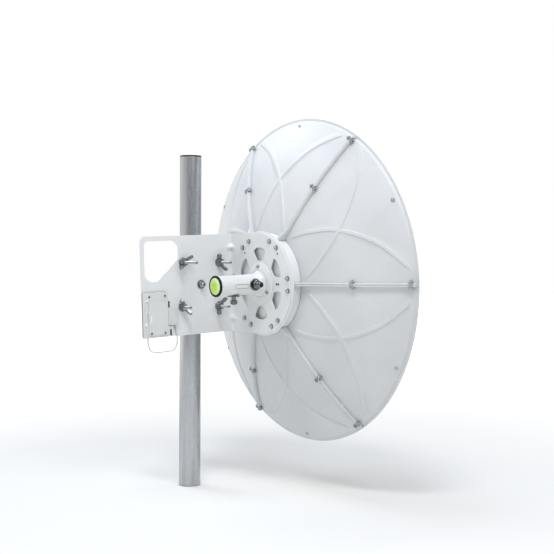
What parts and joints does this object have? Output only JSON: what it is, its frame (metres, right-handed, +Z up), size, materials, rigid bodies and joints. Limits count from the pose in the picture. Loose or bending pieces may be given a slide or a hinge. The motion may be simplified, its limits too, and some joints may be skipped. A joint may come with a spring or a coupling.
{
  "type": "wireless dish antenna on a mast",
  "caption": "Round sectored parabolic link antenna on a side plate bracket, clamped to an upright mast tube, with a feed through its hub and coaxial sockets behind.",
  "frame": {"origin": "centre of the flat bottom face of the mast, which whatever holds the mast meets", "axes": "+Z up along the mast, +Y the way the dish points (it looks 2.2 degrees above it), +X from the mast to the dish's axis"},
  "size_m": [0.9, 0.6869, 1.0233],
  "materials": {
    "mast_tube": "brushed zinc-plated tube",
    "mast_plug": "plain",
    "mast_cap": "moulded",
    "white_sheet": "powder coat, low gloss",
    "clamp_casting": "cast",
    "dark_steel": "darkened bolts",
    "feed_housing": "gloss",
    "sight_ring": "moulded",
    "sight_disc": "gloss",
    "nickel": "plated",
    "feed_metal": "satin",
    "feed_cone": "moulded",
    "pale_plastic": "moulded"
  },
  "bodies": {
    "mast": {"mast_tube": "mast_tube", "mast_base_plug": "mast_plug", "mast_top_cap": "mast_cap"},
    "antenna": {"petal_1": "white_sheet", "petal_2": "white_sheet", "petal_3": "white_sheet", "petal_4": "white_sheet", "petal_5": "white_sheet", "petal_6": "white_sheet", "hub_pan": "white_sheet", "pan_floor": "white_sheet", "centre_plate": "white_sheet", "side_plate": "white_sheet", "back_plate": "white_sheet", "feed_flange": "white_sheet", "feed_collar": "white_sheet", "adapter_panel": "white_sheet", "adapter_lid": "white_sheet", "front_clamp": "clamp_casting", "rear_jaw_upper": "clamp_casting", "rear_jaw_lower": "clamp_casting", "clamp_bolt_upper_rear": "dark_steel", "clamp_bolt_upper_front": "dark_steel", "clamp_bolt_lower_rear": "dark_steel", "clamp_bolt_lower_front": "dark_steel", "jaw_bolt_upper_rear": "dark_steel", "jaw_bolt_upper_front": "dark_steel", "jaw_bolt_lower_rear": "dark_steel", "jaw_bolt_lower_front": "dark_steel", "wing_nut_upper_rear": "dark_steel", "wing_nut_upper_front": "dark_steel", "wing_nut_lower_rear": "dark_steel", "wing_nut_lower_front": "dark_steel", "pivot_bolt": "dark_steel", "feed_housing": "feed_housing", "sight_ring": "sight_ring", "sight_disc": "sight_disc", "side_socket": "nickel", "lower_socket": "nickel", "feed_tube": "feed_metal", "sub_reflector": "feed_metal", "feed_cone": "feed_cone", "cable_clip": "pale_plastic", "hand_loop": "pale_plastic"}
  },
  "joints": [
    {"name": "azimuth_turn", "type": "hinge", "parent": "mast", "child": "antenna", "pos_m": [0, 0, 0.5633], "axis": [0, 0, 1], "continuous": true}
  ]
}
